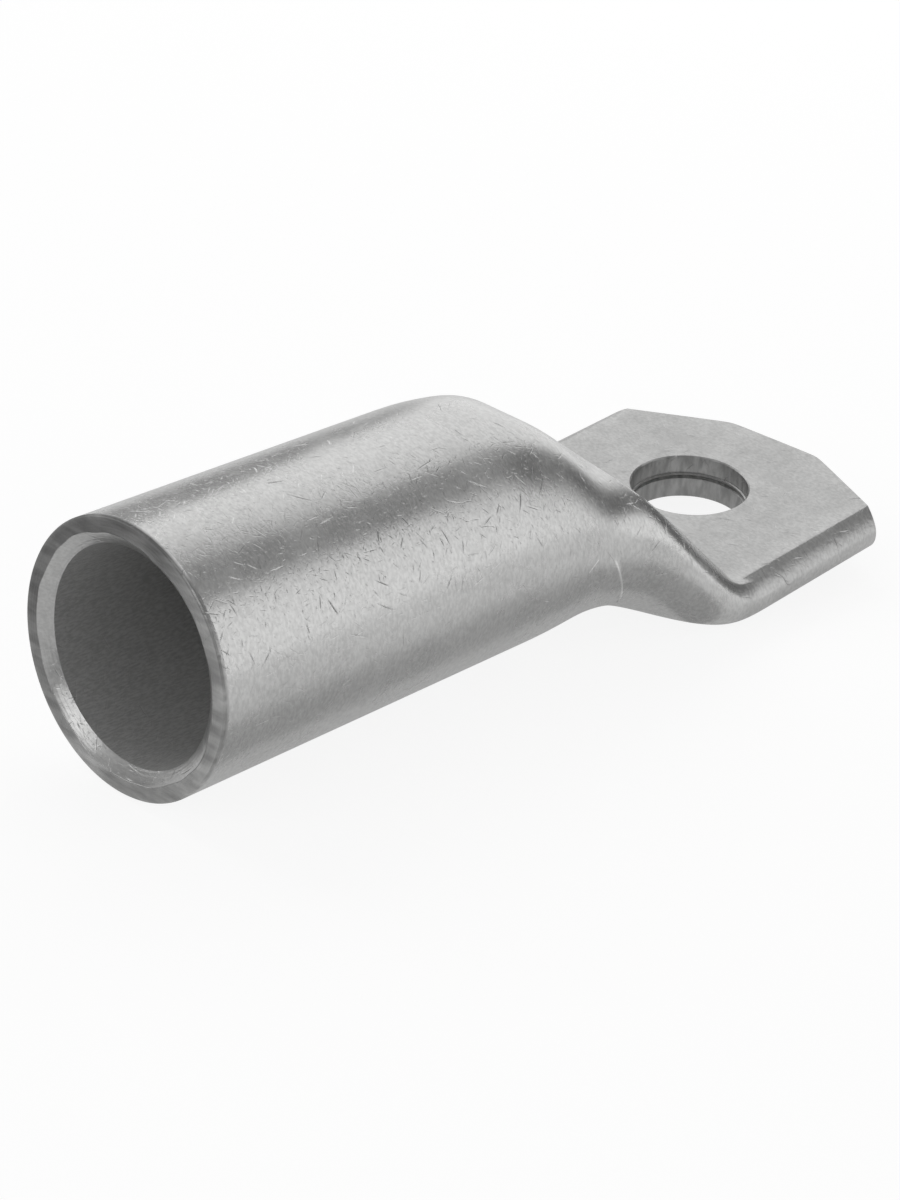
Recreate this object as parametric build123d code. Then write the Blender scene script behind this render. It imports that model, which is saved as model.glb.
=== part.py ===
from build123d import *
from math import cos, pi, radians, sin, tan
import os

import numpy as np

os.makedirs("parts", exist_ok=True)

# Cable lug, one formed tube. X is measured from the mouth along the barrel, and Z is up. At the end
# the lug moves by the mouth's chamfer, so that the origin is where the straight bore begins.
# Lengths are in millimetres.

# The tube, with its mouth, which is sawn a little askew: its underside stands out most
tube_radius = 13.5
wall = 2.85
bore_radius = tube_radius - wall
mouth_skew = 2.0
mouth_chamfer_wide = 1.25
mouth_chamfer_deep = 1.0
rim_break = 0.2
barrel_end = 37.5

# The ramp's top line is one curve: it leaves the barrel level and meets the palm at the foot angle
ramp_gap = 0.4
ramp_long = 31.8
ramp_start = barrel_end + ramp_gap
ramp_foot = ramp_start + ramp_long
ramp_lead = 17.1
ramp_foot_angle = 35.0
ramp_foot_lead = 15.9
underside_rise = 1.55

# The palm, which is the tube pressed flat. It rises a little away from the barrel.
palm_rise = 4.73
palm_top = -7.05
palm_thick = 5.0
palm_half_width = 18.63
fold_depth = 2.6
fold_squareness = 2.05
palm_long = 27.42
palm_end = ramp_foot + palm_long

# Inside, the walls close on each other, and their seam shows as a groove at each cut
waist_before_foot = 9.7
hollow_before_foot = 1.7
hollow_waist = ramp_foot - waist_before_foot
hollow_end = ramp_foot - hollow_before_foot
hollow_tip = 0.3
fold_gap = 0.6
seam_height = 0.25
seam_depth = 0.4

# The bolt hole, and the sheared end, which also sits a little askew
hole_from_end = 15.02
hole_x = palm_end - hole_from_end
hole_radius = 6.5
hole_break = 0.15
end_skew = 3.0
end_half_width = 5.9
corner_setback = 5.6
corner_half_width = 16.7
corner_round = 5.0

# How far past the ramp's start each change of the section begins, and how sharply it eases. All end
# at the ramp's foot.
width_lag, width_ease = 14.5, 1.4
top_flat_lag, top_flat_ease = 6.2, 1.19
base_flat_lag, base_flat_ease = 20.2, 1.6
middle_lag, middle_ease = 16.5, 1.9
underside_lag, underside_ease = 8.8, 1.65

skin_stations = 10
hollow_stations = 6
points_per_edge = 5
barrel_flat_share = 0.25

# How far the cutting tools reach past the metal
reach_past = 30.0


along_palm = Vector(cos(radians(palm_rise)), 0, sin(radians(palm_rise)))
palm_normal = Vector(-sin(radians(palm_rise)), 0, cos(radians(palm_rise)))
palm_plane = Plane(origin=(hole_x, 0, palm_top), x_dir=along_palm, z_dir=palm_normal)
into_mouth = Vector(cos(radians(mouth_skew)), 0, -sin(radians(mouth_skew)))
mouth_plane = Plane(origin=(0, 0, 0), x_dir=(0, 1, 0), z_dir=into_mouth)


def ease(x, lag, sharpness=2.0):
    """Share of a change that is done at x, t^k / (t^k + (1 - t)^k), from a lag past the ramp's start."""
    start = ramp_start + lag
    t = min(max((x - start) / (ramp_foot - start), 0.0), 1.0)
    return t**sharpness / (t**sharpness + (1 - t) ** sharpness)


def palm_top_at(x):
    """Height of the palm's top plane at x."""
    return palm_top + (x - hole_x) * tan(radians(palm_rise))


def top_line(x):
    """Height of the outer top line: barrel, then the ramp's cubic curve, then the palm."""
    if x <= ramp_start:
        return tube_radius
    if x >= ramp_foot:
        return palm_top_at(x)
    foot = np.array([ramp_foot, palm_top_at(ramp_foot)])
    slope = radians(ramp_foot_angle)
    poles = np.array(
        [
            [ramp_start, tube_radius],
            [ramp_start + ramp_lead, tube_radius],
            foot + ramp_foot_lead * np.array([-cos(slope), sin(slope)]),
            foot,
        ]
    )
    t = np.linspace(0, 1, 400)[:, None]
    curve = (1 - t) ** 3 * poles[0] + 3 * t * (1 - t) ** 2 * poles[1]
    curve = curve + 3 * t**2 * (1 - t) * poles[2] + t**3 * poles[3]
    return float(np.interp(x, curve[:, 0], curve[:, 1]))


def outer_form(x):
    """Half width, top, base, widest height, top and base flats and squareness of the skin at x."""
    spread = ease(x, width_lag, width_ease)
    pressed = ease(x, underside_lag, underside_ease)
    half_width = tube_radius + (palm_half_width - tube_radius) * spread
    top = top_line(x)
    base = -tube_radius * (1 - pressed) + (palm_top_at(x) - palm_thick) * pressed
    base += underside_rise * 4 * pressed * (1 - pressed)
    middle = (top + base) / 2 * ease(x, middle_lag, middle_ease)
    flat = palm_half_width - fold_depth
    top_flat = flat * ease(x, top_flat_lag, top_flat_ease)
    base_flat = flat * ease(x, base_flat_lag, base_flat_ease)
    squareness = 2 + (fold_squareness - 2) * spread
    return half_width, top, base, middle, top_flat, base_flat, squareness


def inner_form(x):
    """The hollow's form at x: the skin moved in by the wall, square to its slopes, in plain ovals."""
    half_width, top, base, middle, top_flat, base_flat, squareness = outer_form(x)
    pressed = ease(x, width_lag)
    thick = wall + (palm_thick / 2 - wall) * pressed
    ahead, behind = outer_form(x + 0.5), outer_form(x - 0.5)
    top -= thick * np.hypot(1, ahead[1] - behind[1])
    base += thick * np.hypot(1, ahead[2] - behind[2])
    gap = (top - base) / 2
    gap = (gap + np.hypot(gap, hollow_tip * pressed)) / 2
    centre = (top + base) / 2
    middle += (centre - middle) * ease(x, -ramp_gap)
    half_width -= wall + (fold_depth - fold_gap - wall) * pressed
    return half_width, centre + gap, centre - gap, middle, 0, 0, 2


def quarter(flat, half_width, height, squareness):
    """A quarter of a section and its running length: a straight, then a quarter oval to the side.

    The oval is y = a cos(u)^(2/n), z = h sin(u)^(2/n).
    """
    u = np.linspace(pi / 2, 0, 2000)
    y = flat + (half_width - flat) * np.maximum(np.cos(u), 0) ** (2 / squareness)
    z = height * np.sin(u) ** (2 / squareness)
    y, z = np.append(0.0, y), np.append(height, z)
    return y, z, np.append(0.0, np.cumsum(np.hypot(np.diff(y), np.diff(z))))


def stretch(line, start, stop, place, kind):
    """One edge of a section: the stretch of a quarter between two shares of its length."""
    y, z, along = line
    share = np.linspace(0, 1, points_per_edge)
    length = (start + (stop - start) * share) * along[-1]
    points = [place(p, q) for p, q in zip(np.interp(length, along, y), np.interp(length, along, z))]
    if kind == "line":
        return Edge.make_line(points[0], points[-1])
    if kind == "arc":
        turns = [share * pi / 2 for share in (start, (start + stop) / 2, stop)]
        return Edge.make_three_point_arc(*[place(z[0] * sin(a), z[0] * cos(a)) for a in turns])
    ends = []
    for middle in (length[0], length[-1]):
        near = np.clip([middle - 1e-3, middle + 1e-3], 0, along[-1])
        p, q = np.interp(near, along, y), np.interp(near, along, z)
        ends.append(place(p[1], q[1]) - place(p[0], q[0]))
    return Edge.make_spline(points, tangents=ends, parameters=list(share))


def section(x, form, flat_share, flat_kind, fold_kind):
    """Closed section wire at x: each quarter is part of a flat, then part of a fold."""
    half_width, top, base, middle, top_flat, base_flat, squareness = form
    around = []
    for side, up in ((1, 1), (1, -1), (-1, -1), (-1, 1)):
        flat, height = (top_flat, top - middle) if up > 0 else (base_flat, middle - base)
        line = quarter(flat, half_width, height, squareness)

        def place(y, z):
            return Vector(x, side * y, middle + up * z)

        edges = [stretch(line, flat_share, 1, place, fold_kind)]
        if flat_share > 0:
            edges.insert(0, stretch(line, 0, flat_share, place, flat_kind))
        around += edges if side * up > 0 else edges[::-1]
    return Wire(around)


def formed(form, last, first_share, stations):
    """A true cylinder, then a loft of the form's sections as far as the last. Gives its end too."""
    half_width, top, base, middle, top_flat, base_flat, squareness = form(last)
    last_share = top_flat / quarter(top_flat, half_width, top - middle, squareness)[2][-1]
    wires = [section(barrel_end, form(barrel_end), first_share, "arc", "arc")]
    for i in range(1, stations):
        done = 1 - (1 - i / (stations - 1)) ** 1.3
        x = barrel_end + (last - barrel_end) * done
        share = first_share + (last_share - first_share) * done
        flat_kind = "line" if last == ramp_foot and done == 1 else "spline"
        wires.append(section(x, form(x), share, flat_kind, "spline"))
    barrel = Solid.make_cylinder(form(0)[0], barrel_end + reach_past, Plane.YZ)
    barrel = Pos(-reach_past, 0, 0) * barrel
    return barrel.fuse(Solid.make_loft(wires)), Face(wires[-1])


def past_the_end(inset=0.0):
    """Everything beyond the sheared end: straight across the middle, then set back to each side."""
    reach = -inset
    back = corner_setback / (corner_half_width - end_half_width)
    wide = reach_past
    far = reach - back * (wide - end_half_width)
    outline = Polygon(
        (far, wide),
        (reach, end_half_width),
        (reach, -end_half_width),
        (far, -wide),
        (reach + reach_past, -wide),
        (reach + reach_past, wide),
        align=None,
    )
    corners = [v for v in outline.vertices() if abs(v.Y) < end_half_width + 1]
    beyond = extrude(fillet(corners, corner_round), reach_past, both=True)
    end_x = (palm_end - hole_x) / cos(radians(palm_rise))
    return palm_plane * Pos(end_x, 0, 0) * Rot(0, 0, end_skew) * beyond


thickness = palm_thick * cos(radians(palm_rise))
body, palm_section = formed(outer_form, ramp_foot, barrel_flat_share, skin_stations)
hollow, waist = formed(inner_form, hollow_waist, 0, hollow_stations)
tip = section(hollow_end, inner_form(hollow_end), 0, "spline", "spline")
hollow = hollow.fuse(Solid.make_loft([waist.outer_wire(), tip], ruled=True))
lug = body.fuse(Solid.extrude(palm_section, along_palm * reach_past)) - hollow - past_the_end()

# The bolt hole goes through both walls, and the seam between them opens at it and at the end
hole = Cylinder(hole_radius, reach_past)
seam = Cylinder(hole_radius + seam_depth, seam_height)
for depth in (0, -thickness):
    flare = Cone(hole_radius, hole_radius + hole_break, hole_break)
    if depth == 0:
        hole += Pos(0, 0, -hole_break / 2) * flare
    else:
        hole += Pos(0, 0, depth + hole_break / 2) * Rot(180, 0, 0) * flare
lug = lug - palm_plane * hole - palm_plane * Pos(0, 0, -thickness / 2) * seam
slot = Box(2 * reach_past, 2 * (palm_half_width - fold_depth), seam_height)
lug = lug - (palm_plane * Pos(0, 0, -thickness / 2) * slot & past_the_end(seam_depth))

# The mouth is sawn off and chamfered inside, and its outer rim is barely broken
before = Pos(0, 0, -reach_past) * Cylinder(2 * tube_radius, 2 * reach_past)
deeper = 1.3 * mouth_chamfer_deep
flare = Cone(bore_radius + mouth_chamfer_wide, bore_radius - 0.3 * mouth_chamfer_wide, deeper)
rim = Cylinder(tube_radius + 1, 2 * rim_break) - Cone(
    tube_radius - rim_break, tube_radius + rim_break, 2 * rim_break
)
mouth = before + Pos(0, 0, deeper / 2) * flare + Pos(0, 0, rim_break) * rim
lug = Pos(-mouth_chamfer_deep, 0, 0) * (lug - mouth_plane * mouth)

export_step(lug, "parts/lug.step")
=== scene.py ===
import bmesh
import bpy
import numpy as np
from mathutils import Matrix, Vector


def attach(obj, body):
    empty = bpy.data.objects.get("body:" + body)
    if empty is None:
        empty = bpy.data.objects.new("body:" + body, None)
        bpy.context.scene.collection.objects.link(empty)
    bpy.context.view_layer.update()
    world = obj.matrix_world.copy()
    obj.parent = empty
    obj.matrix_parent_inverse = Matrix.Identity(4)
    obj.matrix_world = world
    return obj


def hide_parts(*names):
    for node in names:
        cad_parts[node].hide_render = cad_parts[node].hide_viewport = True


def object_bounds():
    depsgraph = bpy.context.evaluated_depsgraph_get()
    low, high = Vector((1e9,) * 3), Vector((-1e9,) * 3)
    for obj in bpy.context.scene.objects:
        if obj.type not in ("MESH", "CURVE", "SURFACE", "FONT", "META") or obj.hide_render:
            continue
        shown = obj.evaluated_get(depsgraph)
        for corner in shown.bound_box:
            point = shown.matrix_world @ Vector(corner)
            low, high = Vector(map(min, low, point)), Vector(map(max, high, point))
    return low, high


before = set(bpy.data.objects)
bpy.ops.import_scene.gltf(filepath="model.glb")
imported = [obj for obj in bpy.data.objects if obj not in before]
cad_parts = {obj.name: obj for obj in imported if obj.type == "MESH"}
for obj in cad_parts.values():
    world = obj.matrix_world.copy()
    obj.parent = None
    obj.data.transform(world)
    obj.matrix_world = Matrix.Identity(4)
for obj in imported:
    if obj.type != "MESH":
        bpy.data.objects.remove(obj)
cad_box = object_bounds()

MM = 0.001

# The lug's sizes in millimetres, and its angles. Places along it are counted from the mouth.
TUBE_RADIUS = 13.5
WALL = 2.85
MOUTH_SKEW = np.radians(2.0)
MOUTH_CHAMFER_DEEP = 1.0
RIM_BREAK = 0.2
RAMP_START = 37.9
RAMP_FOOT = 69.7
RAMP_LEAD = 17.1
RAMP_FOOT_ANGLE = np.radians(35)
RAMP_FOOT_LEAD = 15.9
UNDERSIDE_RISE = 1.55
PALM_RISE = np.radians(4.73)
PALM_TOP = -7.05
PALM_THICK = 5.0
PALM_HALF_WIDTH = 18.63
PALM_FLAT = 16.03
PALM_CREASE = 16.45
CREASE_TURN = np.radians(58)
LEAST_FOLD = 2.4
HOLLOW_START = 2.0
HOLLOW_END = 68.0
HOLLOW_GAP = 0.3
HOLLOW_SIDE_WALL = 2.0
HOLE_X = 82.1
HOLE_RADIUS = 6.5
HOLE_BREAK = 0.15
PALM_REACH = 15.07
END_SKEW = np.radians(3.0)
END_HALF_WIDTH = 5.9
END_SETBACK = 5.6
END_SETBACK_WIDE = 16.7
END_ROUND = 0.6
SEAM_HIGH = 0.25
SEAM_DEEP = 0.4

# The palm's directions along and square to it, and the middle of the bolt hole in its top
PALM_ALONG = np.array([np.cos(PALM_RISE), 0, np.sin(PALM_RISE)])
PALM_NORMAL = np.array([-np.sin(PALM_RISE), 0, np.cos(PALM_RISE)])
HOLE_MIDDLE = np.array([HOLE_X, 0, PALM_TOP])

# How each measure of a section changes from the tube to the palm's foot: how far behind the ramp's
# start the change begins, and how sharp it is in its middle
WIDTH_CHANGE = (14.5, 1.4)
UNDERSIDE_CHANGE = (8.8, 1.65)
MIDDLE_CHANGE = (11.33, 1.8)
TOP_FLAT_CHANGE = (6.2, 1.19)
BASE_FLAT_CHANGE = (20.2, 1.6)
WALL_CHANGE = (14.5, 2.0)
HOLLOW_MIDDLE_CHANGE = (-0.4, 2.0)

# The crease along the ramp's edge: how far behind the ramp's start it begins, and over what length
# it turns up
CREASE_LAG = 12.0
CREASE_LONG = 12.0

# Where the ramp swells past its plain sections: place along the lug, then how much wider its top's
# flat is there, or how much higher its top line. Each swell is a bell curve, whose long is the way
# from its middle to where it has sunk by the factor e. All fade out just before the foot.
FLAT_SWELLS = ((54, -1.15), (58, 2.6), (62, 2.4), (66, 1.4))
FLAT_SWELL_LONG = 3.0
TOP_SWELLS = ((42, 0.06), (46, 0.16), (54, -0.21), (58, 0.31), (62, 0.54), (66, 0.33))
TOP_SWELL_LONG = 3.5
SWELL_FADE = 3.0

# Radius, depth and dullness down the bolt hole's wall: upper wall, ledge and groove, lower wall
HOLE_PROFILE = (
    (HOLE_RADIUS, HOLE_BREAK, 1.0),
    (HOLE_RADIUS, 1.2, 1.0),
    (HOLE_RADIUS, 2.0, 1.0),
    (HOLE_RADIUS, 2.05, 0.5),
    (6.34, 2.12, 0.35),
    (6.3, 2.3, 0.3),
    (6.6, 2.36, 1.2),
    (6.75, 2.5, 1.2),
    (6.55, 2.64, 1.2),
    (6.3, 2.75, 0.9),
    (6.28, 3.7, 0.9),
    (6.28, 4.85, 0.9),
    (6.34, 5.05, 0.9),
)

# The mouth's rings: broken rim, sawn face, chamfer, start of the bore. Each has its radius and
# depth, whether it wanders, and how much of a cut face and of the inside it is.
RIM_CUT = 0.9
CHAMFER_CUT = 0.33
MOUTH_PROFILE = (
    (13.35, 0.0, 0, RIM_CUT, 0),
    (12.9, 0.0, 0, 1, 0),
    (12.4, 0.0, 0, 1, 0),
    (11.98, 0.0, 1, 1, 0),
    (11.9, 0.03, 1, CHAMFER_CUT, 0),
    (11.3, 0.48, 0, CHAMFER_CUT, 0),
    (10.68, 0.97, 0, CHAMFER_CUT, 0),
    (TUBE_RADIUS - WALL, MOUTH_CHAMFER_DEEP, 0, 0, 1),
)

# How the edge between the sawn face and the chamfer wanders: waves round it, their size and start
CHAMFER_WANDER = (
    (2, 0.07, 1.0),
    (5, 0.06, 2.3),
    (9, 0.05, 0.4),
    (17, 0.035, 4.0),
    (29, 0.02, 1.7),
)

# The die's edge left a line on the near underside, in the plane x = place - lean * z, and a low
# step on the line's barrel side. A nick lies beside it, given by its two ends in the lug's own
# frame, where x starts behind the mouth's chamfer. Line and nick carry a painted highlight.
MARK_PLACE = 51.9
MARK_LEAN = 0.6
MARK_TOP = -0.6
MARK_FOOT = -8.3
MARK_HIGH = 0.08
MARK_WIDE = 0.17
MARK_STEP_HIGH = 0.1
MARK_STEP_LONG = 1.8
MARK_STEP_EDGE = 0.08
MARK_FADE = 1.5
NICK = ((47.85, -13.45, -1.35), (48.95, -13.48, -0.35))
NICK_WIDE = 0.14

# Cells of the mesh: from the middle to the side of a section, all round it, from the bolt hole to
# its square, and along the palm before and behind the square
QUARTER_CELLS = 72
RING_CELLS = 4 * QUARTER_CELLS
SQUARE_CELLS = 18
BEFORE_SQUARE_CELLS = 14
BEHIND_SQUARE_CELLS = 22

# Faces that meet at more than this angle have a sharp edge between them
SHARP_ANGLE = np.radians(32)

# Columns of the skin's rings that cross the bolt hole's square, on the top and on the base
SQUARE_SPAN = np.arange(-SQUARE_CELLS, SQUARE_CELLS + 1)
TOP_COLUMNS = SQUARE_SPAN % RING_CELLS
BASE_COLUMNS = RING_CELLS // 2 - SQUARE_SPAN

# Where the skin's rings lie from the mouth to the foot: start, stop and step of each run, closer
# together where the form changes more, and a count of rings for the last run
FIRST_RINGS = (RIM_BREAK, 0.6, 1.2, 2.0)
RING_RUNS = ((3.0, RAMP_START, 0.9), (RAMP_START, 50, 0.36), (50, 60, 0.15))
LAST_RUN = (60, RAMP_FOOT, 38)

# Where the hollow's rings lie: start, stop and step of each run
HOLLOW_RAMP_START = RAMP_START + HOLLOW_MIDDLE_CHANGE[0]
HOLLOW_RUNS = ((HOLLOW_START, HOLLOW_RAMP_START, 1.2), (HOLLOW_RAMP_START, HOLLOW_END, 0.8))

# Across the ramp's foot the folds and the underside are smoothed lengthwise: how often, how far to
# each side of the foot and over what length that fades, how far below the palm's top the underside
# starts, and the shares w of a quarter between which the smoothing comes in
FOOT_SMOOTHINGS = 80
FOOT_SMOOTH_REACH = 6.4
FOOT_SMOOTH_FADE = 4.0
UNDERSIDE_BELOW_TOP = 3.2
FOOT_SMOOTH_SHARES = (0.5, 0.62)

# Where the surface counts as a fold: between which places along the ramp, and between which shares
# w of a quarter, it comes in
FOLD_MASK_X = (60, 70)
FOLD_MASK_SHARES = (0.44, 0.5)

# Where the surface counts as pressed: between which distances before the foot and behind it, and
# how much less on a fold
PRESSED_BEFORE_FOOT = 1.5
PRESSED_BEHIND_FOOT = 0.5
PRESSED_LESS_ON_FOLD = 0.4

# What the surface says of itself to its material: a share of each of these, 0 for none of it and
# 1 or more for all
MASKS = ("cut_face", "inside", "hole_wall", "fold", "pressed")

# The range that most of a noise's values lie in
NOISE_RANGE = (0.3, 0.7)

# The noises of the surface: cells per metre, detail, and how much finer each is along x, y and z
MOTTLE = (130.0, 5.0)
SPECK = (3600.0, 3.0, (1.0, 0.5, 1.0))
CLOUDS = (420.0, 4.0)
BLOTCHES = (190.0, 4.0)
SAW_LINES = (900.0, 3.0, (1.0, 0.15, 1.0))
SOOT = (5200.0, 4.0, (0.3, 1.0, 1.0))
WEAR = (1500.0, 3.0, (1.0, 1.0, 0.3))
WAVES = (160.0, 2.0)
COMBING = (4800.0, 2.0, (1.0, 0.3, 1.0))
GRAIN = (3600.0, 3.0)
TURNED_LINES = (3200.0, 3.0)
PEBBLES = (1900.0, 2.0)

# Tones from the least to the most that a noise gives, and shares that multiply such a tone
PLATING_TONES = (0.57, 0.63)
SPECK_SHARES = (0.9, 1.08)
CLOUD_SHARES = (0.74, 0.82)
# Tone of the painted highlight on the die's line and the nick
PAINTED_HIGHLIGHT_TONE = 0.92
SOOTY_TONES = (0.43, 0.56)
WORN_TONES = (0.32, 0.5)

# Painted shade on the sawn face and the chamfer: darkest at the far top, brightest low on the near
# side. The way from one to the other, its half length in millimetres, and the painted tone at each
# end
CUT_SHADE_WAY = (0, -0.6, -0.8)
CUT_SHADE_REACH = 13.0
CUT_SHADED_TONES = (0.17, 0.43)
BLOTCH_RANGE = (0.35, 0.65)
BLOTCH_SHARES = (0.8, 1.2)
SAWN_SHARES = (0.75, 1.25)

# Roughness of the plating over its mottle, and of the parts that differ, in the order of laying
PLATING_ROUGHNESS = (0.24, 0.32)
OTHER_ROUGHNESS = (("pressed", 0.36), ("cut_face", 0.42), ("inside", 0.6))
INSIDE_METALLIC = 0.35

# The heights of the relief's layers, in hundredths of a millimetre
WAVES_HIGH = 5.0
COMBING_HIGH = 0.18
GRAIN_HIGH = 0.5
TURNED_HIGH = 14.0
PEBBLES_HIGH = 2.5

# The plating's scratches, smaller and shallower row by row: cells per metre with one scratch each,
# length and width in shares of a cell, a shift of the pattern, and depth in hundredths of a
# millimetre
SCRATCHES = (
    (260.0, 0.34, 0.022, 0.0, 3.6),
    (430.0, 0.40, 0.032, 0.31, 3.0),
    (700.0, 0.42, 0.050, 0.57, 2.1),
    (1200.0, 0.45, 0.085, 0.73, 1.6),
    (2300.0, 0.50, 0.130, 0.19, 1.1),
)

# The camera of the photograph, in the lug's own frame: its place, which way its right and top
# point, and its focal length in pixels of the frame of 900 by 1200
CAMERA_PLACE = np.array([-144.50, -162.89, 125.84]) * MM
CAMERA_RIGHT = np.array([0.68683, -0.72220, 0.08175])
CAMERA_UP = np.array([0.29679, 0.38136, 0.87549])
FOCAL_PIXELS = 2782.2
FRAME_HIGH_PIXELS = 1200
SENSOR = 36.0

# The middle of the lug, which the lamps look at
LUG_MIDDLE = Vector((47 * MM, 0, 0))

# The lamps: name, direction from the lug, distance, width and height in metres, and radiance
LAMPS = (
    ("side softbox", (0.568, -0.78, 0.26), 0.5, 0.34, 0.51, 0.74),
    ("back softbox", (0.8, 0.408, 0.438), 0.5, 0.38, 0.62, 0.71),
    ("front softbox", (-0.873, -0.03, 0.5), 0.7, 0.44, 0.3, 1.6),
    ("key light", (0.08, 0.84, 0.62), 1.2, 1.1, 1.1, 1.1),
)
ROOM_STRENGTH = 0.33

# The floor's half width in metres, its shade, how bright its even white is, and what share of the
# floor that white is where the floor is seen and where it is mirrored
FLOOR_HALF = 6.0
FLOOR_SHADE = 0.95
FLOOR_WHITE = 1.08
SEEN_WHITE = 0.8
MIRRORED_WHITE = 0.3

# The grey card's distance from the lug's frame and its height in metres, the two directions that it
# stands between, and its shade
CARD_FAR = 0.5
CARD_HIGH = 0.34
CARD_TURNS = np.radians((-30, -3))
CARD_SHADE = 0.2

# The grey strip, a painted shadow of the floor beside the lug, seen only in the lug's mirror: its
# places in millimetres along and beside the lug, its height over the floor, its shade and its glow
STRIP_X = (-20.0, 66.0)
STRIP_Y = (-27.0, -13.5)
STRIP_LIFT = 0.2
STRIP_SHADE = 0.4
STRIP_GLOW = 0.25


def new_material(name):
    """A material with an empty node tree but for its output and one Principled shader."""
    material = bpy.data.materials.new(name)
    material.use_nodes = True
    nodes = material.node_tree.nodes
    nodes.clear()
    output = nodes.new("ShaderNodeOutputMaterial")
    shader = nodes.new("ShaderNodeBsdfPrincipled")
    material.node_tree.links.new(shader.outputs["BSDF"], output.inputs["Surface"])
    return material, nodes, material.node_tree.links, shader


def fill(links, socket, value):
    """Gives an input socket its value, which is a number, a vector or an output socket."""
    if isinstance(value, bpy.types.NodeSocket):
        links.new(value, socket)
    else:
        socket.default_value = value


def math_node(nodes, links, operation, *values):
    """One Math node. Each value is a number or an output socket."""
    node = nodes.new("ShaderNodeMath")
    node.operation = operation
    for socket, value in zip(node.inputs, values):
        fill(links, socket, value)
    return node.outputs[0]


def product(nodes, links, first, *others):
    """The product of several values, each a number or a socket."""
    for other in others:
        first = math_node(nodes, links, "MULTIPLY", first, other)
    return first


def vector_node(nodes, links, operation, *values):
    """One Vector Math node that gives its vector, or its value for a dot product or a length."""
    node = nodes.new("ShaderNodeVectorMath")
    node.operation = operation
    for socket, value in zip(node.inputs, values):
        fill(links, socket, value)
    return node.outputs["Value" if operation in ("DOT_PRODUCT", "LENGTH") else "Vector"]


def scaled(nodes, links, vector, factor):
    """A vector times a factor."""
    node = nodes.new("ShaderNodeVectorMath")
    node.operation = "SCALE"
    fill(links, node.inputs[0], vector)
    links.new(factor, node.inputs["Scale"])
    return node.outputs["Vector"]


def range_node(nodes, links, value, low, high, to_low=0.0, to_high=1.0):
    """A smooth step of a value from one range to another."""
    node = nodes.new("ShaderNodeMapRange")
    node.interpolation_type = "SMOOTHSTEP"
    links.new(value, node.inputs["Value"])
    for name, number in (
        ("From Min", low),
        ("From Max", high),
        ("To Min", to_low),
        ("To Max", to_high),
    ):
        node.inputs[name].default_value = number
    return node.outputs["Result"]


def spread(nodes, links, value, least, most):
    """A noise's value laid out between a least and a most."""
    return range_node(nodes, links, value, *NOISE_RANGE, least, most)


def blend(nodes, links, factor, low, high):
    """A mix of two values, each a number or a socket."""
    node = nodes.new("ShaderNodeMix")
    node.data_type = "FLOAT"
    links.new(factor, node.inputs["Factor"])
    fill(links, node.inputs["A"], low)
    fill(links, node.inputs["B"], high)
    return node.outputs["Result"]


def noise(nodes, links, place, per_metre, detail, stretch=(1, 1, 1)):
    """Noise of a place, finer along an axis the larger its stretch."""
    texture = nodes.new("ShaderNodeTexNoise")
    texture.inputs["Scale"].default_value = per_metre
    texture.inputs["Detail"].default_value = detail
    links.new(vector_node(nodes, links, "MULTIPLY", place, stretch), texture.inputs["Vector"])
    return texture.outputs["Fac"]


def mask_of(nodes, name):
    """One of the surface's own masks or places, by its attribute's name."""
    node = nodes.new("ShaderNodeAttribute")
    node.attribute_name = name
    return node


def short_scratches():
    """Group: short straight scratches, one in each cell, each lying its own way in the surface.

    In a cell with middle c and random direction n, a point is on the scratch where its distance
    from the plane through c square to n is under the width, and its distance from c is under the
    length. n is first laid into the surface, so that the width is the same everywhere.
    """
    group = bpy.data.node_groups.new("short scratches", "ShaderNodeTree")
    for name, kind, way in (
        ("Per Metre", "NodeSocketFloat", "INPUT"),
        ("Length", "NodeSocketFloat", "INPUT"),
        ("Width", "NodeSocketFloat", "INPUT"),
        ("Shift", "NodeSocketVector", "INPUT"),
        ("Groove", "NodeSocketFloat", "OUTPUT"),
    ):
        group.interface.new_socket(name=name, in_out=way, socket_type=kind)
    nodes, links = group.nodes, group.links
    given = nodes.new("NodeGroupInput").outputs
    place = nodes.new("ShaderNodeTexCoord")
    point = vector_node(nodes, links, "ADD", place.outputs["Object"], given["Shift"])
    point = scaled(nodes, links, point, given["Per Metre"])
    cell = nodes.new("ShaderNodeTexVoronoi")
    cell.inputs["Scale"].default_value = 1.0
    links.new(point, cell.inputs["Vector"])
    away = vector_node(nodes, links, "SUBTRACT", point, cell.outputs["Position"])
    across = vector_node(nodes, links, "SUBTRACT", cell.outputs["Color"], (0.5, 0.5, 0.5))
    lying = vector_node(nodes, links, "CROSS_PRODUCT", across, place.outputs["Normal"])
    lying = vector_node(nodes, links, "NORMALIZE", lying)
    off_line = vector_node(nodes, links, "DOT_PRODUCT", away, lying)
    off_line = math_node(nodes, links, "ABSOLUTE", off_line)
    far = vector_node(nodes, links, "LENGTH", away)
    shares = []
    for distance, limit in ((off_line, "Width"), (far, "Length")):
        share = math_node(nodes, links, "DIVIDE", distance, given[limit])
        share = math_node(nodes, links, "SUBTRACT", 1.0, share)
        shares.append(math_node(nodes, links, "MAXIMUM", share, 0.0))
    out = nodes.new("NodeGroupOutput")
    links.new(product(nodes, links, *shares), out.inputs["Groove"])
    return group


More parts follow.
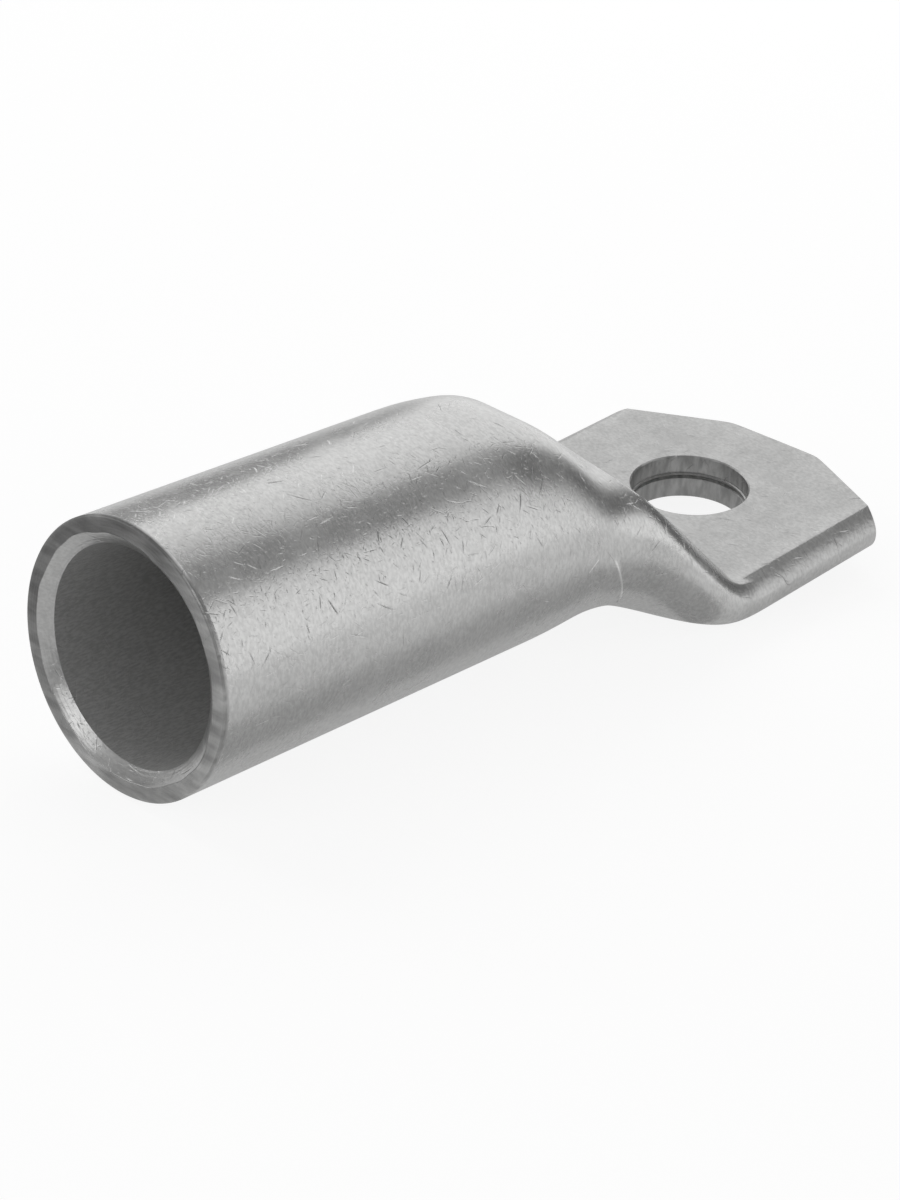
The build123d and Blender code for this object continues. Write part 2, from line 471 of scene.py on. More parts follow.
def near_segment(nodes, links, place, start, stop, wide):
    """How near a place is to a straight line between two points, from 1 on it to 0 at a width."""
    start, along = np.array(start) * MM, (np.array(stop) - np.array(start)) * MM
    away = vector_node(nodes, links, "SUBTRACT", place, start)
    share = vector_node(nodes, links, "DOT_PRODUCT", away, along / (along @ along))
    share = math_node(nodes, links, "MAXIMUM", share, 0.0)
    share = math_node(nodes, links, "MINIMUM", share, 1.0)
    away = vector_node(nodes, links, "SUBTRACT", away, scaled(nodes, links, along, share))
    distance = vector_node(nodes, links, "LENGTH", away)
    return range_node(nodes, links, distance, 0.0, wide * MM, 1.0, 0.0)


def die_mark(nodes, links, place):
    """The line that the die's edge left, as a share from 1 on it to 0 beside it."""
    core, edge = 0.03, 0.2
    foot_fade, top_fade, side_fade = 0.8, 1.2, 1.0
    shift = ((MOUTH_CHAMFER_DEEP - MARK_PLACE) * MM, 0, 0)
    off = vector_node(nodes, links, "ADD", place, shift)
    off = vector_node(nodes, links, "DOT_PRODUCT", off, Vector((1, 0, MARK_LEAN)).normalized())
    off = math_node(nodes, links, "ABSOLUTE", off)
    line = range_node(nodes, links, off, core * MM, edge * MM, 1.0, 0.0)
    axes = nodes.new("ShaderNodeSeparateXYZ")
    links.new(place, axes.inputs["Vector"])
    for name, low, high, to_low, to_high in (
        ("Z", MARK_FOOT, MARK_FOOT + foot_fade, 0.0, 1.0),
        ("Z", MARK_TOP - top_fade, MARK_TOP, 1.0, 0.0),
        ("Y", -side_fade, 0.0, 1.0, 0.0),
    ):
        within = range_node(nodes, links, axes.outputs[name], low * MM, high * MM, to_low, to_high)
        line = product(nodes, links, line, within)
    return line


def cut_tone_and_shade(nodes, links, place):
    """Tone of the sawn and chamfered faces: blotches, saw lines, and painted shade, darkest at the
    far top.
    """
    blotches = noise(nodes, links, place, *BLOTCHES)
    blotches = range_node(nodes, links, blotches, *BLOTCH_RANGE, *BLOTCH_SHARES)
    sawn = spread(nodes, links, noise(nodes, links, place, *SAW_LINES), *SAWN_SHARES)
    # Painted shade: darker towards the far top, brighter low on the near side
    painted_shade = vector_node(nodes, links, "DOT_PRODUCT", place, CUT_SHADE_WAY)
    painted_shade = range_node(nodes, links, painted_shade, -CUT_SHADE_REACH * MM, CUT_SHADE_REACH * MM, *CUT_SHADED_TONES)
    return product(nodes, links, blotches, sawn, painted_shade)


def plating_tone(nodes, links, place, skin_place, mottle, masks):
    """Tone of the plating in its mottle and speck, cloudy where pressed, darker cut and inside."""
    speck = spread(nodes, links, noise(nodes, links, skin_place, *SPECK), *SPECK_SHARES)
    tone = product(nodes, links, spread(nodes, links, mottle, *PLATING_TONES), speck)
    cloudy = spread(nodes, links, noise(nodes, links, place, *CLOUDS), *CLOUD_SHARES)
    tone = blend(nodes, links, masks["pressed"], tone, product(nodes, links, tone, cloudy))
    # A painted highlight along the die's line and the nick
    mark = die_mark(nodes, links, place)
    nick = near_segment(nodes, links, place, *NICK, NICK_WIDE)
    painted_highlight = math_node(nodes, links, "MAXIMUM", mark, nick)
    tone = blend(nodes, links, painted_highlight, tone, PAINTED_HIGHLIGHT_TONE)
    # The cut faces' tone, darkened in part by painted shade
    tone = blend(nodes, links, masks["cut_face"], tone, cut_tone_and_shade(nodes, links, place))
    sooty = spread(nodes, links, noise(nodes, links, place, *SOOT), *SOOTY_TONES)
    tone = blend(nodes, links, masks["inside"], tone, sooty)
    worn = spread(nodes, links, noise(nodes, links, place, *WEAR), *WORN_TONES)
    return blend(nodes, links, masks["hole_wall"], tone, worn)


def scratch_depth(nodes, links):
    """All scratches of the plating as one height, below zero in a groove."""
    group = short_scratches()
    total = None
    for per_metre, length, width, shift, depth in SCRATCHES:
        layer = nodes.new("ShaderNodeGroup")
        layer.node_tree = group
        layer.inputs["Per Metre"].default_value = per_metre
        layer.inputs["Length"].default_value = length
        layer.inputs["Width"].default_value = width
        layer.inputs["Shift"].default_value = (shift, shift, shift)
        groove = product(nodes, links, layer.outputs["Groove"], -depth)
        total = groove if total is None else math_node(nodes, links, "ADD", total, groove)
    return total


def plating_relief(nodes, links, place, skin_place, masks):
    """Height of the surface in hundredths of a millimetre.

    It is the sum of the plating's waves, combing and grain, of the lines that the tool turned on
    the cut faces, of the folds' pebbles, and of the scratches.
    """
    radius = vector_node(nodes, links, "MULTIPLY", place, (0, 1, 1))
    turned = nodes.new("ShaderNodeCombineXYZ")
    links.new(vector_node(nodes, links, "LENGTH", radius), turned.inputs["X"])
    lines = noise(nodes, links, turned.outputs["Vector"], *TURNED_LINES)
    pebbles = noise(nodes, links, place, *PEBBLES)
    total = scratch_depth(nodes, links)
    for layer, height in (
        (noise(nodes, links, place, *WAVES), WAVES_HIGH),
        (noise(nodes, links, skin_place, *COMBING), COMBING_HIGH),
        (noise(nodes, links, place, *GRAIN), GRAIN_HIGH),
        (product(nodes, links, lines, masks["cut_face"]), TURNED_HIGH),
        (product(nodes, links, pebbles, masks["fold"]), PEBBLES_HIGH),
    ):
        raised = product(nodes, links, layer, height)
        total = math_node(nodes, links, "ADD", total, raised)
    return total


def tinned_copper():
    """Satin tin plating, combed and pebbled in a fine relief, scratched, duller where it was cut."""
    material, nodes, links, shader = new_material("tinned copper")
    place = nodes.new("ShaderNodeTexCoord").outputs["Object"]
    skin_place = mask_of(nodes, "skin_place").outputs["Vector"]
    masks = {name: mask_of(nodes, name).outputs["Fac"] for name in MASKS}
    mottle = noise(nodes, links, place, *MOTTLE)

    tone = plating_tone(nodes, links, place, skin_place, mottle, masks)
    grey = nodes.new("ShaderNodeCombineColor")
    for channel, share in (("Red", 1.0), ("Green", 1.0), ("Blue", 0.99)):
        links.new(product(nodes, links, tone, share), grey.inputs[channel])
    links.new(grey.outputs["Color"], shader.inputs["Base Color"])
    metallic = blend(nodes, links, masks["inside"], 1.0, INSIDE_METALLIC)
    links.new(metallic, shader.inputs["Metallic"])

    rough = spread(nodes, links, mottle, *PLATING_ROUGHNESS)
    for name, roughness in OTHER_ROUGHNESS:
        rough = blend(nodes, links, masks[name], rough, roughness)
    links.new(rough, shader.inputs["Roughness"])

    bump = nodes.new("ShaderNodeBump")
    bump.inputs["Strength"].default_value = 1.0
    bump.inputs["Distance"].default_value = 0.01 * MM
    relief = plating_relief(nodes, links, place, skin_place, masks)
    links.new(relief, bump.inputs["Height"])
    links.new(bump.outputs["Normal"], shader.inputs["Normal"])
    return material


def rise(x, low, high):
    """A straight rise from 0 at low to 1 at high."""
    return np.clip((x - low) / (high - low), 0, 1)


def smooth(share):
    """A share held between 0 and 1 and eased at both ends: 3 s^2 - 2 s^3."""
    share = np.clip(share, 0, 1)
    return share * share * (3 - 2 * share)


def ease(x, lag, sharpness):
    """Share of a change that is done at x: t^k / (t^k + (1 - t)^k) from its start to the foot."""
    start = RAMP_START + lag
    t = np.clip((x - start) / (RAMP_FOOT - start), 0, 1)
    return t**sharpness / (t**sharpness + (1 - t) ** sharpness)


def bells(x, swells, long):
    """Sum of bell curves, each its size times exp(-((x - place) / long)^2)."""
    return sum(size * np.exp(-(((x - place) / long) ** 2)) for place, size in swells)


def palm_top_at(x):
    """Height of the palm's top plane at x."""
    return PALM_TOP + (x - HOLE_X) * np.tan(PALM_RISE)


def top_line(x):
    """Height of the outer top line: the barrel, the ramp's cubic curve, then the palm."""
    foot = np.array([RAMP_FOOT, palm_top_at(RAMP_FOOT)])
    back = np.array([-np.cos(RAMP_FOOT_ANGLE), np.sin(RAMP_FOOT_ANGLE)])
    poles = np.array(
        [
            [RAMP_START, TUBE_RADIUS],
            [RAMP_START + RAMP_LEAD, TUBE_RADIUS],
            foot + RAMP_FOOT_LEAD * back,
            foot,
        ]
    )
    steps = 800
    t = np.linspace(0, 1, steps)[:, None]
    curve = (1 - t) ** 3 * poles[0] + 3 * t * (1 - t) ** 2 * poles[1]
    curve = curve + 3 * t**2 * (1 - t) * poles[2] + t**3 * poles[3]
    return np.where(x < RAMP_FOOT, np.interp(x, curve[:, 0], curve[:, 1]), palm_top_at(x))


def outer_form(x):
    """Half width, top, base, widest height, the two flats and the crease of the section at each x.

    Each measure goes from the tube's to the palm's by its own ease. The top's flat and the top line
    also have their swells. The flat is held inside the half width less the least fold by a soft
    limit, m - ln(1 + exp(k (m - flat))) / k.
    """
    pressed = ease(x, *UNDERSIDE_CHANGE)
    half_width = TUBE_RADIUS + (PALM_HALF_WIDTH - TUBE_RADIUS) * ease(x, *WIDTH_CHANGE)
    top = top_line(x)
    base = -TUBE_RADIUS * (1 - pressed) + (palm_top_at(x) - PALM_THICK) * pressed
    base = base + UNDERSIDE_RISE * 4 * pressed * (1 - pressed)
    middle = (top + base) / 2 * ease(x, *MIDDLE_CHANGE)
    fading = smooth((RAMP_FOOT - x) / SWELL_FADE)
    top = top + bells(x, TOP_SWELLS, TOP_SWELL_LONG) * fading
    top = np.minimum(top, TUBE_RADIUS)
    top_flat = PALM_CREASE * ease(x, *TOP_FLAT_CHANGE)
    top_flat = top_flat + bells(x, FLAT_SWELLS, FLAT_SWELL_LONG) * fading
    most, limit = half_width - LEAST_FOLD, 3.0
    held = most - np.log1p(np.exp(limit * (most - top_flat))) / limit
    top_flat = np.clip(top_flat + (held - top_flat) * fading, 0, None)
    base_flat = PALM_FLAT * ease(x, *BASE_FLAT_CHANGE)
    crease = CREASE_TURN * smooth((x - RAMP_START - CREASE_LAG) / CREASE_LONG)
    return half_width, top, base, middle, top_flat, base_flat, crease


def inner_form(x):
    """The hollow's section at each x: the skin moved in by the wall, as plain ovals.

    The wall is measured square to the top and the base, so it is longer in height where they
    slope, by the slope's hypotenuse over one millimetre of x.
    """
    half_width, top, base, middle = outer_form(x)[:4]
    pressed = ease(x, *WALL_CHANGE)
    thick = WALL + (PALM_THICK / 2 - WALL) * pressed
    ahead, behind = outer_form(x + 0.5), outer_form(x - 0.5)
    top = top - thick * np.hypot(1, ahead[1] - behind[1])
    base = base + thick * np.hypot(1, ahead[2] - behind[2])
    gap = (top - base) / 2
    gap = (gap + np.hypot(gap, HOLLOW_GAP * pressed)) / 2
    centre = (top + base) / 2
    middle = middle + (centre - middle) * ease(x, *HOLLOW_MIDDLE_CHANGE)
    half_width = half_width - (WALL + (HOLLOW_SIDE_WALL - WALL) * pressed)
    return half_width, centre + gap, centre - gap, middle, 0 * x, 0 * x, 0 * x


def softened(form, x):
    """A form with its changes blurred over a millimetre or so, less and less towards the foot."""
    step, cells, blur_long = 0.1, 40, 1.2
    beyond, sharp_before_foot, fade = 6, 3, 6
    table = np.arange(-beyond, RAMP_FOOT + beyond, step)
    blur = np.exp(-0.5 * (np.arange(-cells, cells + 1) * step / blur_long) ** 2)
    blur /= blur.sum()
    amount = smooth((RAMP_FOOT - sharp_before_foot - x) / fade)
    values = []
    for raw in form(table):
        soft = np.convolve(np.pad(raw, cells, mode="edge"), blur, mode="valid")
        soft, raw = np.interp(x, table, soft), np.interp(x, table, raw)
        values.append(soft * amount + raw * (1 - amount))
    return values


def ring(form):
    """Points (y, z) all round each section, from the top through +Y and back.

    Along a quarter runs w, from 0 at the middle to 1 at the side. Its first half lies on the flat
    and its second on the fold, of width a and height h. Where the flat is still narrow, the first
    half also takes in the start of the fold, up to a quarter of it. The fold is the part of an oval
    from the crease's angle c on: y = flat + a (sin(q) - sin(c)) / (1 - sin(c)),
    z = h cos(q) / cos(c).
    """
    half_width, top, base, middle, top_flat, base_flat, crease = [v[:, None] for v in form]
    w = np.linspace(0, 1, QUARTER_CELLS + 1)[None, :]
    quarters = []
    for flat, height, turn in (
        (top_flat, top - middle, crease),
        (base_flat, base - middle, 0 * crease),
    ):
        fold = half_width - flat
        corner = np.pi / 8 * np.clip(1 - flat / PALM_FLAT, 0, 1)
        along = 2 * w * (flat + fold * corner)
        q_flat = np.clip((along - flat) / fold, 0, None)
        q_fold = corner + (2 * w - 1) * (np.pi / 2 - corner)
        q = np.where(w <= 0.5, q_flat, q_fold)
        q = turn + q * (1 - turn / (np.pi / 2))
        across = (np.sin(q) - np.sin(turn)) / (1 - np.sin(turn))
        y = np.where(w <= 0.5, np.minimum(along, flat), flat) + fold * across
        z = middle + height * np.cos(q) / np.cos(turn)
        quarters.append((y, z))
    (y1, z1), (y2, z2) = quarters
    y = np.hstack([y1[:, :-1], y2[:, :0:-1], -y2[:, :-1], -y1[:, :0:-1]])
    z = np.hstack([z1[:, :-1], z2[:, :0:-1], z2[:, :-1], z1[:, :0:-1]])
    return y, z


def end_at(y):
    """How far along the palm its sheared end lies at y: a straight, then a set-back each side.

    The set-back is the slope times a rounded ramp, (b + hypot(b, round)) / 2 of the distance b
    beyond the straight, and the whole line is turned by the skew.
    """
    reach, steps = 24, 961
    slope = END_SETBACK / (END_SETBACK_WIDE - END_HALF_WIDTH)
    local = np.linspace(-reach, reach, steps)
    beyond = np.abs(local) - END_HALF_WIDTH
    back = slope * (beyond + np.hypot(beyond, END_ROUND)) / 2
    x = -back * np.cos(END_SKEW) - local * np.sin(END_SKEW)
    across = -back * np.sin(END_SKEW) + local * np.cos(END_SKEW)
    return PALM_REACH + np.interp(y, across, x)


def die_swell(x, y, z):
    """By what factor the die's line and step swell a section, on the near underside alone.

    The line is a bell across it, high exp(-(off / wide)^2). The step falls off away from the line,
    high exp(-(off / long)^2), and ends at the line by 1 / (1 + exp(off / edge)).
    """
    off = (x - MARK_PLACE + MARK_LEAN * z) / np.hypot(1, MARK_LEAN)
    below_top = np.clip((MARK_TOP - z) / MARK_FADE, 0, 1)
    above_foot = np.clip((z - MARK_FOOT + MARK_FADE) / MARK_FADE, 0, 1)
    ended = 1 + np.exp(np.clip(off / MARK_STEP_EDGE, -50, 50))
    raised = MARK_HIGH * np.exp(-((off / MARK_WIDE) ** 2))
    raised += MARK_STEP_HIGH * np.exp(-((off / MARK_STEP_LONG) ** 2)) / ended
    return 1 + (y < 0) * below_top * above_foot * raised / TUBE_RADIUS


def side_share():
    """Share w of the way from a section's middle to its side, for each column of a ring."""
    w = np.arange(RING_CELLS) % (2 * QUARTER_CELLS)
    return np.minimum(w, 2 * QUARTER_CELLS - w) / QUARTER_CELLS


def tube_rings():
    """Rings of the tube and the ramp: their places x, and all their points.

    Each ring is the softened outer form's section at x. Near the mouth it leans with the saw cut,
    by z tan(skew), and stands upright from 3 mm on.
    """
    upright_from = 3.0
    runs = [np.arange(*run) for run in RING_RUNS]
    x = np.concatenate([FIRST_RINGS, *runs, np.linspace(*LAST_RUN)])
    y, z = ring(softened(outer_form, x))
    swell = die_swell(x[:, None], y, z)
    y, z = y * swell, z * swell
    lean = np.clip(1 - (x - RIM_BREAK) / upright_from, 0, 1)[:, None]
    return x, np.stack([x[:, None] + z * np.tan(MOUTH_SKEW) * lean, y, z], -1)


def palm_rings(foot):
    """Rings of the palm: each column's line goes on from the ramp's foot to the sheared end.

    A line is foot + (reach - begin) times the palm's direction. The reach is counted from the bolt
    hole and goes in even steps to the hole's square, across it, and on to the end.
    """
    begin = (foot - HOLE_MIDDLE) @ PALM_ALONG
    last = end_at(foot[:, 1])
    square = SQUARE_CELLS * PALM_FLAT / (QUARTER_CELLS // 2)
    least_behind = 1.2
    first_stop = np.full(RING_CELLS, -square)
    second_stop = np.minimum(square, last - least_behind)
    stops = (
        (begin, first_stop, BEFORE_SQUARE_CELLS),
        (first_stop, second_stop, 2 * SQUARE_CELLS),
        (second_stop, last, BEHIND_SQUARE_CELLS),
    )
    reach = np.vstack([a + (b - a) * np.arange(1, n + 1)[:, None] / n for a, b, n in stops])
    return foot + (reach - begin)[:, :, None] * PALM_ALONG


def skin_rings():
    """All rings of the outer skin, how much of a fold each point is, and how many are the tube's.

    Across the ramp's foot the folds and the underside are smoothed lengthwise: again and again each
    ring moves a share of the way to the mean of its neighbours. The top's flat keeps its edge.
    """
    x, tube = tube_rings()
    palm = palm_rings(tube[-1])
    rings = np.concatenate([tube, palm])
    w = side_share()
    underside = rings[len(x)][:, 2] < PALM_TOP - UNDERSIDE_BELOW_TOP
    soft = np.where(underside, 1, rise(w, *FOOT_SMOOTH_SHARES))
    off_foot = np.abs(rings[..., 0] - RAMP_FOOT)
    near_foot = np.clip((FOOT_SMOOTH_REACH - off_foot) / FOOT_SMOOTH_FADE, 0, 1)
    weight = (0.5 * soft * near_foot)[1:-1, :, None]
    for _ in range(FOOT_SMOOTHINGS):
        rings[1:-1] += weight * ((rings[:-2] + rings[2:]) / 2 - rings[1:-1])
    on_palm = np.concatenate([rise(x, *FOLD_MASK_X), np.ones(len(palm))])
    fold = on_palm[:, None] * rise(w, *FOLD_MASK_SHARES)[None, :]
    return rings, fold, len(x)


class Surface:
    """A surface in the making: blocks of points with what each point is, quads and triangles."""

    def __init__(self):
        self.points, self.kinds, self.quads, self.triangles = [], [], [], []

    def add(self, block, cut=0.0, inside=0.0, hole_wall=0.0):
        """Adds a block of points and gives their numbers in the block's shape."""
        start = sum(len(part) for part in self.points)
        flat_block = block.reshape(-1, 3)
        self.points.append(flat_block)
        self.kinds.append(np.tile((cut, inside, hole_wall), (len(flat_block), 1)))
        return (start + np.arange(len(flat_block))).reshape(block.shape[:-1])

    def places_of(self, numbers):
        """The points that have these numbers."""
        return np.concatenate(self.points)[numbers]

    def join(self, rows, close):
        """Adds quads between rows of numbers, wrapped round when close says so."""
        self.quads.append(grid_faces(rows, close).reshape(-1, 4))


def grid_faces(rows, close):
    """Quads between rows of vertex numbers, row by row, wrapped round when close says so."""
    following = np.roll(rows, -1, axis=1) if close else rows[:, 1:]
    here = rows if close else rows[:, :-1]
    return np.stack([here[:-1], following[:-1], following[1:], here[1:]], -1)


def join_skin(surface, skin, first_row):
    """Quads between the skin's rings, but for the bolt hole's square on the top and the base."""
    quads = grid_faces(skin, True)
    keep = np.ones(quads.shape[:2], bool)
    rows = slice(first_row, first_row + 2 * SQUARE_CELLS)
    keep[rows, TOP_COLUMNS[:-1]] = False
    keep[rows, BASE_COLUMNS[1:]] = False
    surface.quads.append(quads[keep])


def bolt_hole(surface, skin, first_row):
    """The palm round the bolt hole, and the hole's wall between its two rims.

    Circles spread from a rim of radius r to the open square's border: a point at share s lies at
    middle + away (r + (far - r) s), where far is the border's distance. The wall's rings follow the
    hole's profile: hole middle + away radius - normal depth.
    """
    rows = np.arange(first_row, first_row + 2 * SQUARE_CELLS + 1)
    rim_radius = HOLE_RADIUS + HOLE_BREAK
    share = np.array([0, 0.06, 0.2, 0.5, 0.75])[:, None, None]
    rims, ways = [], []
    for deep, columns in ((0, TOP_COLUMNS), (PALM_THICK * np.cos(PALM_RISE), BASE_COLUMNS)):
        border = np.concatenate(
            [
                skin[rows[:-1], columns[0]],
                skin[rows[-1], columns[:-1]],
                skin[rows[:0:-1], columns[-1]],
                skin[rows[0], columns[:0:-1]],
            ]
        )
        middle = HOLE_MIDDLE - deep * PALM_NORMAL
        away = surface.places_of(border) - middle
        far = np.linalg.norm(away, axis=1, keepdims=True)
        away = away / far
        numbers = surface.add(middle + away * (rim_radius + (far - rim_radius) * share))
        surface.join(np.vstack([numbers, border[None]]), True)
        rims.append(numbers[0])
        ways.append(away)
    wall = [
        surface.add((HOLE_MIDDLE + ways[0] * radius - PALM_NORMAL * depth)[None], hole_wall=dull)
        for radius, depth, dull in HOLE_PROFILE
    ]
    surface.join(np.vstack([rims[0][None], *wall, rims[1][None]]), True)


def close_side(surface, tips, rows):
    """Triangles from a pinched ring's two side points to the ends of the rows between them."""
    for tip, column in zip(tips, (0, -1)):
        apex = np.full(len(rows) - 1, tip)
        surface.triangles.append(np.stack([apex, rows[:-1, column], rows[1:, column]], -1))


def flat_ends(last_ring):
    """A ring's numbers along its top, along its base and at its two side points."""
    side = np.arange(-QUARTER_CELLS + 1, QUARTER_CELLS)
    top = last_ring[side % RING_CELLS]
    base = last_ring[RING_CELLS // 2 - side]
    return top, base, last_ring[[-QUARTER_CELLS, QUARTER_CELLS]]


def sheared_end(surface, skin):
    """The end face from its top edge to its base edge, with the two walls' seam as a groove.

    Each row lies at a share of the height between the edges, and the seam's rows go in by the
    groove's depth, less where the end is low at its sides.
    """
    # Of each row: share of the height, which edge of the groove it is, and whether it is deep
    seam_rows = [(0.5, -1, 0), (0.5, -1, 1), (0.5, 1, 1), (0.5, 1, 0)]
    plan = np.array([(0.12, 0, 0), (0.3, 0, 0), *seam_rows, (0.7, 0, 0), (0.88, 0, 0)])
    most_groove, least_depth = 0.2, 0.1
    shallow_below, deep_above = 2.5, 4.0
    top, base, tips = flat_ends(skin[-1])
    upper, lower = surface.places_of(top), surface.places_of(base)
    high = np.linalg.norm(upper - lower, axis=1)
    groove = np.minimum(SEAM_HIGH / 2 / high, most_groove)
    share = plan[:, :1] + plan[:, 1:2] * groove
    depth = np.maximum(rise(high, shallow_below, deep_above), least_depth)
    deep = plan[:, 2:] * SEAM_DEEP * depth
    rows = upper + (lower - upper) * share[:, :, None] - deep[:, :, None] * PALM_ALONG
    stack = np.vstack([top[None], surface.add(rows, cut=1.0), base[None]])
    surface.join(stack, False)
    close_side(surface, tips, stack)


def mouth_and_hollow(surface, skin):
    """The mouth's rings, then the bore and the hollow as far as its tip, which is closed flat.

    A ring of the mouth is its radius, and its wander where it has one, times the skin's direction
    from the axis, leaning with the saw cut. The hollow's rings are the softened inner form's.
    """
    direction = surface.places_of(skin[0])[:, 1:] / TUBE_RADIUS
    turn = np.arctan2(direction[:, 1], direction[:, 0])
    wander = sum(size * np.sin(waves * turn + start) for waves, size, start in CHAMFER_WANDER)
    rows = [skin[:1]]
    for radius, depth, wanders, cut, inside in MOUTH_PROFILE:
        yz = direction * (radius + wanders * wander)[:, None]
        block = np.column_stack([depth + yz[:, 1] * np.tan(MOUTH_SKEW), yz])
        rows.append(surface.add(block[None], cut=cut, inside=inside))
    x = np.concatenate([np.arange(*run) for run in HOLLOW_RUNS])
    y, z = ring(softened(inner_form, x))
    hollow = np.stack([np.broadcast_to(x[:, None], y.shape), y, z], -1)
    rows.append(surface.add(hollow, inside=1.0))
    surface.join(np.vstack(rows)[::-1], True)
    top, base, tips = flat_ends(rows[-1][-1])
    surface.join(np.vstack([top, base]), False)
    close_side(surface, tips, np.vstack([top, base]))


def pattern_places(points, skin):
    """Places that a pattern on the skin follows: x, the way round from the middle, and y shrunk."""
    shrink = 0.3
    places = points.copy()
    steps = np.diff(points[skin], axis=1, append=points[skin][:, :1])
    steps = np.linalg.norm(steps, axis=-1)
    around = np.cumsum(steps, axis=1) - steps
    around = np.minimum(around, around[:, -1:] - around)
    places[skin.ravel(), 1] = around.ravel()
    places[skin.ravel(), 2] = shrink * points[skin][..., 1].ravel()
    return places


def lug_surface():
    """The whole lug as one closed surface, with its masks and its pattern's places.

    Rings of the skin run from the mouth to the ramp's foot at set places x, then along the palm to
    its end, which differs for each line. Round the bolt hole a square of the top and of the base
    is left out, and circles spread to the square fill it. Then come the hole's wall, the end face,
    the mouth's rings and the hollow.
    """
    rings, fold, tube_count = skin_rings()
    surface = Surface()
    skin = surface.add(rings)
    first_row = tube_count - 1 + BEFORE_SQUARE_CELLS
    join_skin(surface, skin, first_row)
    bolt_hole(surface, skin, first_row)
    sheared_end(surface, skin)
    mouth_and_hollow(surface, skin)

    points = np.concatenate(surface.points)
    masks = dict.fromkeys(MASKS)
    masks["cut_face"], masks["inside"], masks["hole_wall"] = np.vstack(surface.kinds).T
    masks["cut_face"][skin[0]] = RIM_CUT
    masks["fold"] = np.zeros(len(points))
    masks["fold"][skin] = fold
    off_foot = points[:, 0] - RAMP_FOOT
    pressed = rise(off_foot, -PRESSED_BEFORE_FOOT, PRESSED_BEHIND_FOOT)
    masks["pressed"] = pressed * (1 - PRESSED_LESS_ON_FOLD * masks["fold"])
    faces = np.vstack(surface.quads).tolist() + np.vstack(surface.triangles).tolist()
    return points, faces, masks, pattern_places(points, skin)


def lug_skin(material):
    """The lug's surface as one mesh that takes the place of the plain solid."""
    points, faces, masks, places = lug_surface()
    points = points - np.array([MOUTH_CHAMFER_DEEP, 0, 0])
    mesh = bpy.data.meshes.new("lug_skin")
    mesh.from_pydata(points * MM, [], faces)
    work = bmesh.new()
    work.from_mesh(mesh)
    bmesh.ops.recalc_face_normals(work, faces=work.faces)
    work.to_mesh(mesh)
    work.free()
    mesh.shade_smooth()
    mesh.set_sharp_from_angle(angle=SHARP_ANGLE)
    for name, values in masks.items():
        layer = mesh.attributes.new(name, "FLOAT", "POINT")
        layer.data.foreach_set("value", values.astype(np.float32))
    layer = mesh.attributes.new("skin_place", "FLOAT_VECTOR", "POINT")
    layer.data.foreach_set("vector", (places * MM).astype(np.float32).ravel())
    mesh.materials.append(material)
    piece = bpy.data.objects.new("lug_skin", mesh)
    bpy.context.scene.collection.objects.link(piece)
    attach(piece, "root")
    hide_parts("lug")


def studio_sheet(name, corners, material, unseen_by=()):
    """A flat sheet of the studio from its four corners. Rays of the kinds it names pass it by."""
    mesh = bpy.data.meshes.new(name)
    mesh.from_pydata(corners, [], [(0, 1, 2, 3)])
    mesh.materials.append(material)
    sheet = bpy.data.objects.new(name, mesh)
    bpy.context.scene.collection.objects.link(sheet)
    for kind in unseen_by:
        setattr(sheet, "visible_" + kind, False)


def matt_grey(name, shade):
    """A matt material of one even grey."""
    material, nodes, links, shader = new_material(name)
    shader.inputs["Base Color"].default_value = (shade, shade, shade, 1)
    shader.inputs["Roughness"].default_value = 0.9
    return material, nodes, links, shader


def floor():
    """A plain white floor. Where it is seen or mirrored, a share of it is even white."""
    material, nodes, links, shader = matt_grey("white floor", FLOOR_SHADE)
    shader.inputs["Specular IOR Level"].default_value = 0.0
    white = nodes.new("ShaderNodeEmission")
    white.inputs["Strength"].default_value = FLOOR_WHITE
    path = nodes.new("ShaderNodeLightPath").outputs
    seen = math_node(nodes, links, "MAXIMUM", path["Is Camera Ray"], path["Is Transmission Ray"])
    seen = product(nodes, links, seen, SEEN_WHITE)
    mirrored = product(nodes, links, path["Is Glossy Ray"], MIRRORED_WHITE)
    mix = nodes.new("ShaderNodeMixShader")
    links.new(math_node(nodes, links, "MAXIMUM", seen, mirrored), mix.inputs["Fac"])
    links.new(shader.outputs["BSDF"], mix.inputs[1])
    links.new(white.outputs["Emission"], mix.inputs[2])
    output = next(node for node in nodes if node.type == "OUTPUT_MATERIAL")
    links.new(mix.outputs["Shader"], output.inputs["Surface"])
    half, low = FLOOR_HALF, cad_box[0][2]
    corners = [(-half, -half, low), (half, -half, low), (half, half, low), (-half, half, low)]
    studio_sheet("floor", corners, material)


def dark_card():
    """A grey card that stands between the softboxes. The lug mirrors it as the dark of its ramp."""
    material = matt_grey("grey card", CARD_SHADE)[0]
    low = cad_box[0][2]
    left, right = [(CARD_FAR * np.cos(turn), CARD_FAR * np.sin(turn)) for turn in CARD_TURNS]
    foot = [(*left, low), (*right, low)]
    top = [(*left, low + CARD_HIGH), (*right, low + CARD_HIGH)]
    studio_sheet("dark_card", [foot[0], top[0], top[1], foot[1]], material, ("camera",))


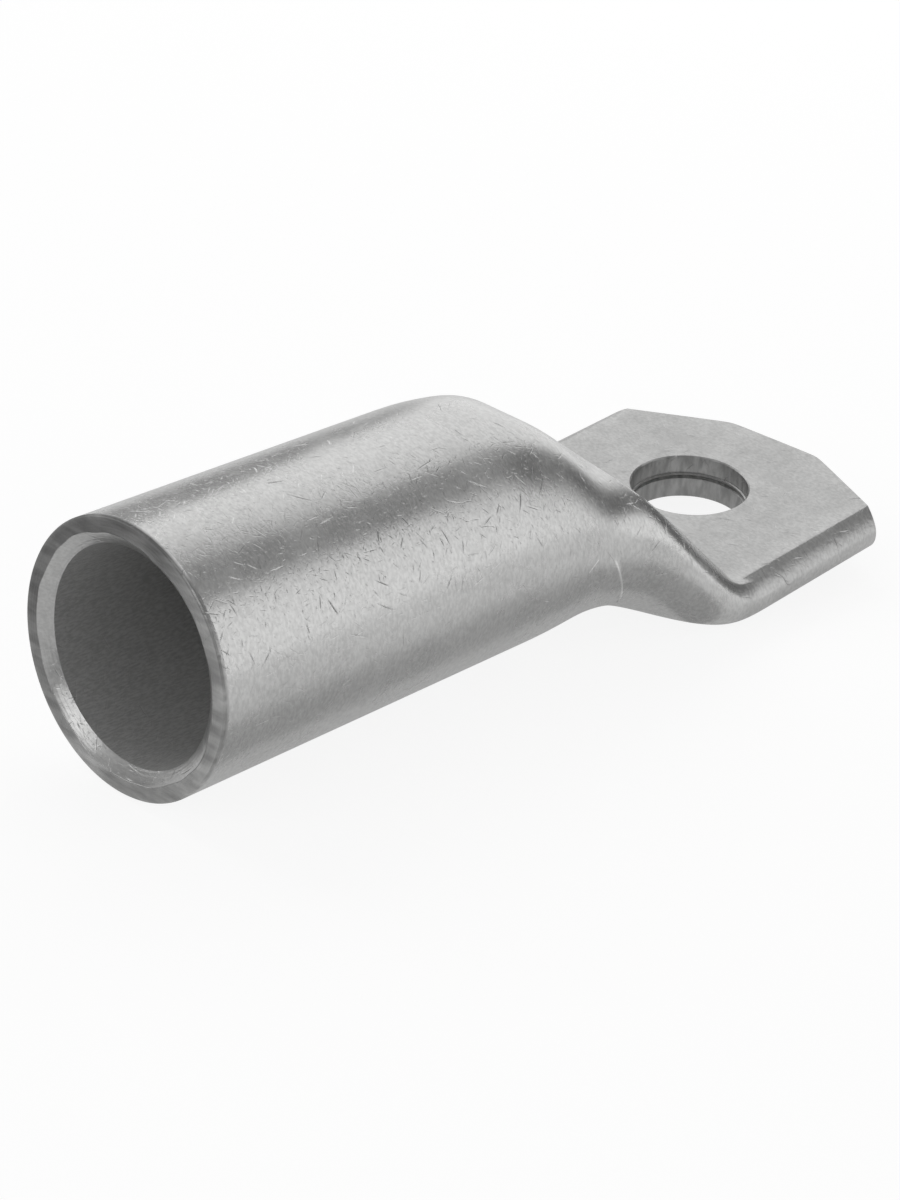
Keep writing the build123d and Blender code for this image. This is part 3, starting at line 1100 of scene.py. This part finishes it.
def painted_shadow_strip():
    """A painted shadow: grey strip on the floor beside the lug, mirrored by the lug as its lower
    shade.
    """
    material, _, _, shader = matt_grey("painted shadow strip", STRIP_SHADE)
    # The strip glows a little, though it is no lamp, and only mirror rays see it
    shader.inputs["Emission Color"].default_value = (1, 1, 1, 1)
    shader.inputs["Emission Strength"].default_value = STRIP_GLOW
    low = cad_box[0][2] + STRIP_LIFT * MM
    (x0, x1), (y0, y1) = np.array(STRIP_X) * MM, np.array(STRIP_Y) * MM
    corners = [(x0, y0, low), (x1, y0, low), (x1, y1, low), (x0, y1, low)]
    studio_sheet("painted_shadow_strip", corners, material, ("camera", "shadow", "diffuse"))


def softbox(name, direction, distance, width, height, radiance):
    """A rectangular lamp that looks at the lug from a direction, as bright as its radiance says."""
    data = bpy.data.lights.new(name, "AREA")
    data.shape = "RECTANGLE"
    data.size, data.size_y = width, height
    data.energy = radiance * np.pi * width * height
    lamp = bpy.data.objects.new(name, data)
    way = Vector(direction).normalized()
    lamp.location = LUG_MIDDLE + way * distance
    lamp.rotation_euler = way.to_track_quat("Z", "Y").to_euler()
    bpy.context.scene.collection.objects.link(lamp)


def studio():
    """Softboxes that the lug mirrors as its bright bands, a key light and an even dim room."""
    for lamp in LAMPS:
        softbox(*lamp)
    world = bpy.data.worlds.new("even room")
    world.use_nodes = True
    background = world.node_tree.nodes["Background"]
    background.inputs["Color"].default_value = (1, 1, 1, 1)
    background.inputs["Strength"].default_value = ROOM_STRENGTH
    bpy.context.scene.world = world


def camera():
    """The photograph's camera, from its fitted place, turn and focal length."""
    data = bpy.data.cameras.new("camera")
    data.sensor_width = SENSOR
    data.lens = FOCAL_PIXELS / FRAME_HIGH_PIXELS * SENSOR
    data.clip_start, data.clip_end = 0.01, 50
    eye = bpy.data.objects.new("camera", data)
    right = Vector(CAMERA_RIGHT).normalized()
    up = Vector(CAMERA_UP)
    up = (up - up.dot(right) * right).normalized()
    turn = Matrix((right, up, right.cross(up))).transposed().to_4x4()
    eye.matrix_world = Matrix.Translation(Vector(CAMERA_PLACE)) @ turn
    bpy.context.scene.collection.objects.link(eye)
    bpy.context.scene.camera = eye


lug_skin(tinned_copper())
floor()
dark_card()
painted_shadow_strip()
studio()
camera()
bpy.context.scene.view_settings.view_transform = "Standard"
